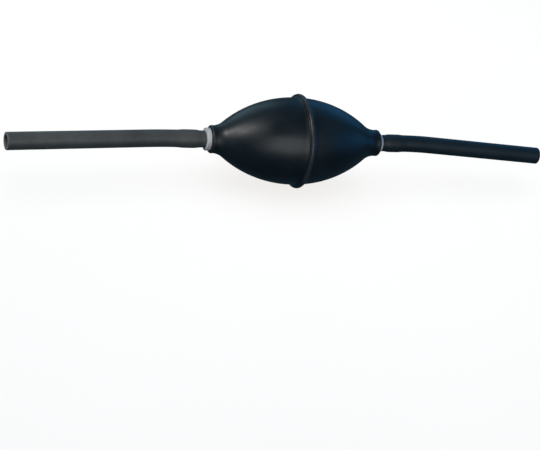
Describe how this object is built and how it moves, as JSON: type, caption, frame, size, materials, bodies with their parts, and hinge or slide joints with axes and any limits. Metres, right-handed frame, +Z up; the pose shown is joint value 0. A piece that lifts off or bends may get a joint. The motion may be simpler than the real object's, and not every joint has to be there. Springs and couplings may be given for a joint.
{
  "type": "pipette filler bulb",
  "caption": "Dark rubber squeeze bulb with a moulded ridge, a ball check valve in each neck, and an inlet and an outlet rubber tube pushed over its nozzles.",
  "frame": {"origin": "the lowest point of the moulded ridge, where the bulb lies in the hand that squeezes it", "axes": "+X along the bulb from inlet to outlet, +Y to the rear, +Z up"},
  "size_m": [0.3773, 0.0628, 0.0628],
  "materials": {
    "bulb_rubber": "satin",
    "tube_rubber": "matte",
    "white_plastic": "satin",
    "clear_plastic": "gloss",
    "steel": "polished",
    "seal": "matte"
  },
  "bodies": {
    "bulb": {"bulb_shell": "bulb_rubber", "inlet_nozzle": "white_plastic", "inlet_seat_ring": "seal", "inlet_spring": "steel", "inlet_ball_cage": "white_plastic", "outlet_nozzle": "clear_plastic", "outlet_seat_cap": "clear_plastic", "outlet_seat_ring": "seal", "outlet_spring": "steel"},
    "front_wall": {"front_squeeze_wall": "bulb_rubber"},
    "rear_wall": {"rear_squeeze_wall": "bulb_rubber"},
    "inlet_ball_body": {"inlet_ball": "steel"},
    "outlet_ball_body": {"outlet_ball": "steel"},
    "inlet_tube_body": {"inlet_tube": "tube_rubber"},
    "outlet_tube_body": {"outlet_tube": "tube_rubber"}
  },
  "joints": [
    {"name": "front_squeeze", "type": "slide", "parent": "bulb", "child": "front_wall", "axis": [0, 1, 0], "range_m": [0, 0.01], "stiffness_N_per_m": 2000},
    {"name": "rear_squeeze", "type": "slide", "parent": "bulb", "child": "rear_wall", "axis": [0, -1, 0], "range_m": [0, 0.01], "stiffness_N_per_m": 2000},
    {"name": "inlet_ball_lift", "type": "slide", "parent": "bulb", "child": "inlet_ball_body", "axis": [1, 0, 0], "range_m": [0, 0.0015], "stiffness_N_per_m": 50, "springref_m": -0.003, "deforming": ["inlet_spring"]},
    {"name": "outlet_ball_lift", "type": "slide", "parent": "bulb", "child": "outlet_ball_body", "axis": [1, 0, 0], "range_m": [0, 0.0015], "stiffness_N_per_m": 50, "springref_m": -0.003, "deforming": ["outlet_spring"]},
    {"name": "inlet_tube_pull", "type": "slide", "parent": "bulb", "child": "inlet_tube_body", "axis": [-1, 0, 0], "range_m": [0, 0.025]},
    {"name": "outlet_tube_pull", "type": "slide", "parent": "bulb", "child": "outlet_tube_body", "axis": [1, 0, 0], "range_m": [0, 0.025]}
  ],
  "couplings": [
    {"joint": "rear_squeeze", "follows": "front_squeeze", "ratio": 1}
  ]
}
